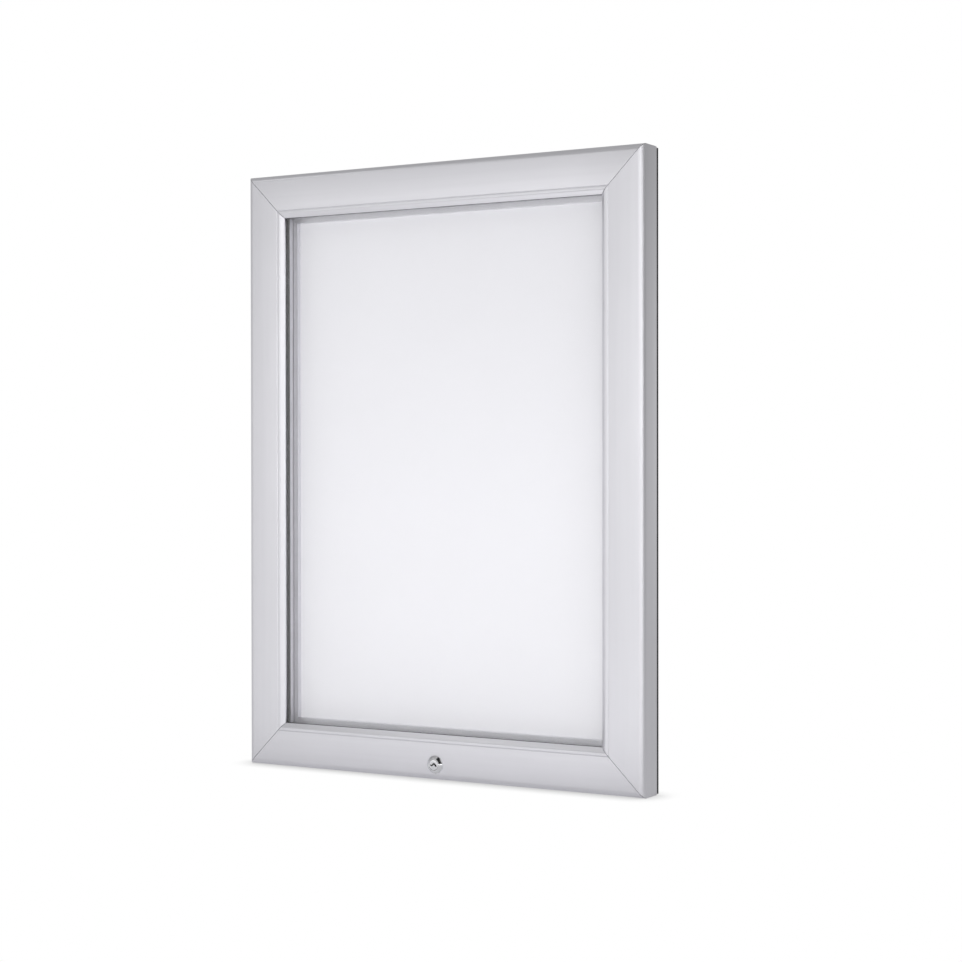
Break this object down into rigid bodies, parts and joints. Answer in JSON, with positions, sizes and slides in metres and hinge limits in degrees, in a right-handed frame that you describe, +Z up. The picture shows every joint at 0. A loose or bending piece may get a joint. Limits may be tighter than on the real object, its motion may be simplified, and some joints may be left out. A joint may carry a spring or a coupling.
{
  "type": "lockable poster case",
  "caption": "Wall-mounted silver aluminium poster case: glazed door on a top hinge with side stays, cam lock in the bottom rail, white insert on a backing panel.",
  "frame": {"origin": "centre of the wall face, on the wall plane, midway between the four wall screw holes", "axes": "+X to the right seen from the front, +Y backwards into the wall, +Z up"},
  "size_m": [0.516, 0.0415, 0.6912],
  "materials": {
    "anodised_aluminium": "satin silver anodised extrusion",
    "mill_aluminium": "mill finish inner parts",
    "black_rubber": "matt weather seal",
    "stainless_steel": "brushed",
    "lock_chrome": "polished",
    "clear_acrylic": "clear sheet",
    "poster_card": "plain white card",
    "backing_board": "light grey board"
  },
  "bodies": {
    "case_back": {"back_rail_top": "anodised_aluminium", "back_rail_bottom": "anodised_aluminium", "back_rail_left": "anodised_aluminium", "back_rail_right": "anodised_aluminium", "back_corner_keys": "mill_aluminium", "back_key_screws": "stainless_steel", "backing_panel": "backing_board", "poster_insert": "poster_card", "weather_seal": "black_rubber", "door_seal": "black_rubber", "keeper_plate": "stainless_steel", "keeper_screws": "stainless_steel", "hinge_leaf_back": "stainless_steel", "hinge_screws_back": "stainless_steel", "hinge_pin": "stainless_steel"},
    "door": {"door_rail_top": "anodised_aluminium", "door_rail_bottom": "anodised_aluminium", "door_rail_left": "anodised_aluminium", "door_rail_right": "anodised_aluminium", "door_corner_keys": "mill_aluminium", "door_key_screws": "stainless_steel", "glazing_sheet": "clear_acrylic", "glazing_gasket": "black_rubber", "glazing_bead_top": "anodised_aluminium", "glazing_bead_bottom": "anodised_aluminium", "glazing_bead_left": "anodised_aluminium", "glazing_bead_right": "anodised_aluminium", "hinge_leaf_door": "stainless_steel", "hinge_screws_door": "stainless_steel", "lock_body": "lock_chrome", "lock_nut": "stainless_steel", "stay_studs": "stainless_steel"},
    "lock_plug": {"lock_plug": "lock_chrome", "lock_cam": "stainless_steel", "cam_screw": "stainless_steel"},
    "left_stay": {"stay_arm_left": "stainless_steel", "stay_slide_pin_left": "stainless_steel"},
    "right_stay": {"stay_arm_right": "stainless_steel", "stay_slide_pin_right": "stainless_steel"}
  },
  "joints": [
    {"name": "door_hinge", "type": "hinge", "parent": "case_back", "child": "door", "pos_m": [0, -0.00425, 0.344], "axis": [-1, 0, 0], "range_deg": [0, 70]},
    {"name": "lock_turn", "type": "hinge", "parent": "door", "child": "lock_plug", "pos_m": [0, -0.0375, -0.3275], "axis": [0, -1, 0], "range_deg": [0, 90]},
    {"name": "left_stay_pivot", "type": "hinge", "parent": "door", "child": "left_stay", "pos_m": [-0.2546, -0.0125, 0.23431], "axis": [-1, 0, 0], "range_deg": [-140, 0]},
    {"name": "right_stay_pivot", "type": "hinge", "parent": "door", "child": "right_stay", "pos_m": [0.2546, -0.0125, 0.23431], "axis": [-1, 0, 0], "range_deg": [-140, 0]}
  ],
  "couplings": [
    {"joint": "left_stay_pivot", "follows": "door_hinge", "ratio": -2},
    {"joint": "right_stay_pivot", "follows": "door_hinge", "ratio": -2}
  ]
}
